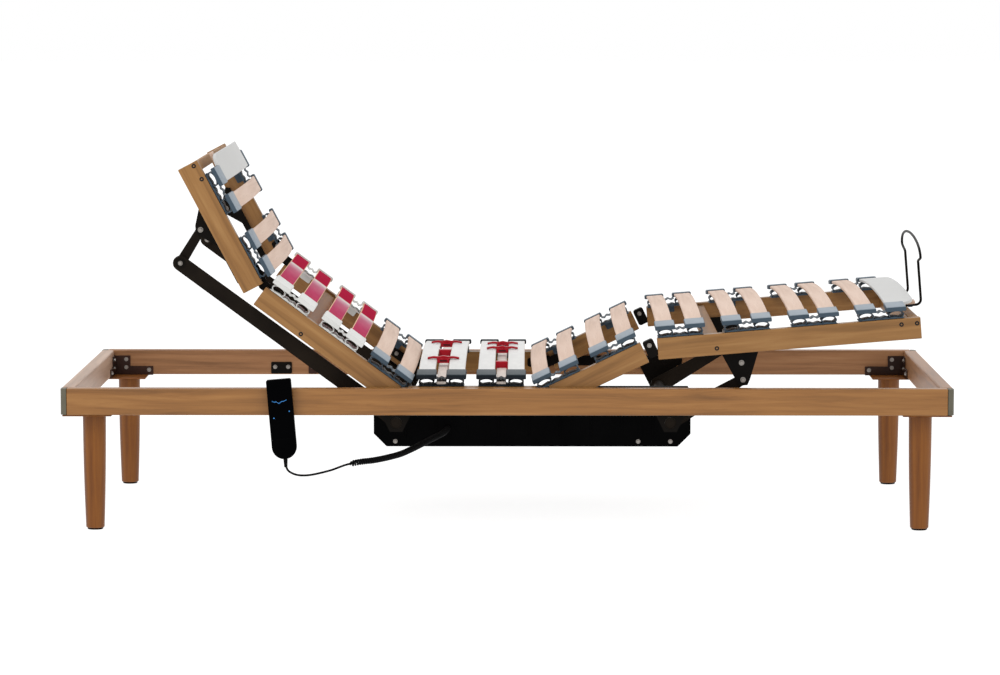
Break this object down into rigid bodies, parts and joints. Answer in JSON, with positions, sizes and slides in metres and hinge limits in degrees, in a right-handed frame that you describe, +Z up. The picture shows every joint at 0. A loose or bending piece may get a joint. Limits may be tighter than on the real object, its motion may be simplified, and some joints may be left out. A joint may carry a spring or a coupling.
{
  "type": "adjustable bed base",
  "caption": "Single slatted bed base on wooden legs, with motorised back, head, thigh and calf sections, twin drive, handset and mattress hoop.",
  "frame": {"origin": "on the floor, under the middle of the bounding box", "axes": "+X towards the foot end, along the bed; +Y away from the handset side; +Z up"},
  "size_m": [2, 0.9232, 0.8326],
  "materials": {
    "frame_wood": "stained and lacquered, satin, fine straight grain",
    "section_wood": "honey stained plywood, satin",
    "leg_wood": "turned and lacquered, satin",
    "slat_wood": "pale beech laminate, satin",
    "pink_slat": "pink film printed on beech laminate, fading to white",
    "white_slat": "white film on beech laminate",
    "steel": "dark brown powder coat",
    "corner_bronze": "bronze brown powder coat",
    "bolt_metal": "zinc plated",
    "holder_dark": "slate elastomer, matt",
    "holder_light": "light blue grey elastomer, satin",
    "corner_cap": "moulded, matt",
    "housing": "moulded, fine texture",
    "drive_metal": "dark plated",
    "block_plastic": "moulded nylon",
    "slider_red": "moulded, satin gloss",
    "handset_gloss": "high gloss",
    "key_glow": "backlit blue marks",
    "cord_rubber": "satin"
  },
  "bodies": {
    "frame": {"side_rail_near": "frame_wood", "side_rail_far": "frame_wood", "end_rail_head": "frame_wood", "end_rail_foot": "frame_wood", "leg_head_near": "leg_wood", "leg_head_far": "leg_wood", "leg_foot_near": "leg_wood", "leg_foot_far": "leg_wood", "seat_rail_near": "section_wood", "seat_rail_far": "section_wood", "chassis_side_near": "steel", "chassis_side_far": "steel", "seat_slat_pair_1": "white_slat", "seat_slat_pair_2": "white_slat", "housing_tray": "housing", "housing_lid": "housing", "handset_hook": "housing", "back_spindle_drive": "drive_metal", "leg_spindle_drive": "drive_metal", "handset": "handset_gloss", "handset_lead": "cord_rubber", "handset_coil": "cord_rubber"},
    "back": {"back_rail_near": "section_wood", "back_rail_far": "section_wood", "back_cross_board": "section_wood", "back_slat_pair_3": "slat_wood", "back_slat_pair_1": "pink_slat", "back_slat_pair_2": "pink_slat"},
    "head": {"head_rail_near": "section_wood", "head_rail_far": "section_wood", "head_end_rail": "section_wood", "head_bracket_near": "steel", "head_bracket_far": "steel", "head_slat_pair_1": "slat_wood", "head_slat_pair_2": "slat_wood"},
    "thigh": {"thigh_rail_near": "section_wood", "thigh_rail_far": "section_wood", "thigh_slat_pair_1": "slat_wood", "thigh_slat_pair_2": "slat_wood"},
    "calf": {"calf_rail_near": "section_wood", "calf_rail_far": "section_wood", "calf_cross_board": "section_wood", "calf_end_rail": "section_wood", "calf_bracket_near": "steel", "calf_bracket_far": "steel", "calf_slat_pair_1": "slat_wood", "calf_slat_pair_2": "slat_wood", "calf_slat_pair_3": "slat_wood", "calf_slat_pair_4": "slat_wood", "mattress_retainer": "steel"},
    "back_lift": {"back_lift_shaft": "steel"},
    "leg_lift": {"leg_lift_shaft": "steel"},
    "head_link": {"head_link_near": "steel", "head_link_far": "steel"},
    "back_push": {"back_push_block": "block_plastic"},
    "leg_push": {"leg_push_block": "block_plastic"},
    "slider_1_near": {"slider_1_near": "slider_red"},
    "slider_1_far": {"slider_1_far": "slider_red"},
    "slider_2_near": {"slider_2_near": "slider_red"},
    "slider_2_far": {"slider_2_far": "slider_red"}
  },
  "joints": [
    {"name": "back_hinge", "type": "hinge", "parent": "frame", "child": "back", "pos_m": [-0.245, 0.0116, 0.3], "axis": [0, 1, 0], "range_deg": [-36.5, 6]},
    {"name": "head_hinge", "type": "hinge", "parent": "back", "child": "head", "pos_m": [-0.54682, 0.0116, 0.55282], "axis": [0, 1, 0], "range_deg": [-25.8, 4.3]},
    {"name": "back_shaft_turn", "type": "hinge", "parent": "frame", "child": "back_lift", "pos_m": [-0.249, 0.0116, 0.2445], "axis": [0, 1, 0], "range_deg": [-43.2, 7.2]},
    {"name": "head_link_pivot", "type": "hinge", "parent": "head", "child": "head_link", "pos_m": [-0.6881, 0.0116, 0.6766], "axis": [0, 1, 0], "range_deg": [-8.8, 53.2]},
    {"name": "back_push", "type": "slide", "parent": "frame", "child": "back_push", "axis": [1, 0, 0], "range_m": [-0.0058, 0.0345]},
    {"name": "thigh_hinge", "type": "hinge", "parent": "frame", "child": "thigh", "pos_m": [0.0956, 0.0116, 0.3], "axis": [0, -1, 0], "range_deg": [-25.5, 4]},
    {"name": "calf_hinge", "type": "hinge", "parent": "thigh", "child": "calf", "pos_m": [0.32094, 0.0116, 0.41501], "axis": [0, 1, 0], "range_deg": [-20.9, 3.3]},
    {"name": "leg_shaft_turn", "type": "hinge", "parent": "frame", "child": "leg_lift", "pos_m": [0.367, 0.0116, 0.2445], "axis": [0, -1, 0], "range_deg": [-39.2, 6.2]},
    {"name": "leg_push", "type": "slide", "parent": "frame", "child": "leg_push", "axis": [1, 0, 0], "range_m": [-0.032, 0.0051]},
    {"name": "slider_1_near_slide", "type": "slide", "parent": "frame", "child": "slider_1_near", "axis": [0, 0.9994, 0.036], "range_m": [-0.1, 0.06]},
    {"name": "slider_1_far_slide", "type": "slide", "parent": "frame", "child": "slider_1_far", "axis": [0, 0.9992, -0.04], "range_m": [-0.06, 0.08]},
    {"name": "slider_2_near_slide", "type": "slide", "parent": "frame", "child": "slider_2_near", "axis": [0, 1, -0.004], "range_m": [-0.1, 0.04]},
    {"name": "slider_2_far_slide", "type": "slide", "parent": "frame", "child": "slider_2_far", "axis": [0, 0.9995, -0.032], "range_m": [-0.05, 0.1]}
  ],
  "couplings": [
    {"joint": "head_hinge", "follows": "back_hinge", "ratio": 0.70548},
    {"joint": "back_shaft_turn", "follows": "back_hinge", "ratio": 1.18},
    {"joint": "head_link_pivot", "follows": "back_hinge", "ratio": -1.453},
    {"joint": "back_push", "follows": "back_hinge", "m_per_rad": -0.0534},
    {"joint": "calf_hinge", "follows": "thigh_hinge", "ratio": 0.81569},
    {"joint": "leg_shaft_turn", "follows": "thigh_hinge", "ratio": 1.53},
    {"joint": "leg_push", "follows": "thigh_hinge", "m_per_rad": 0.0708}
  ]
}
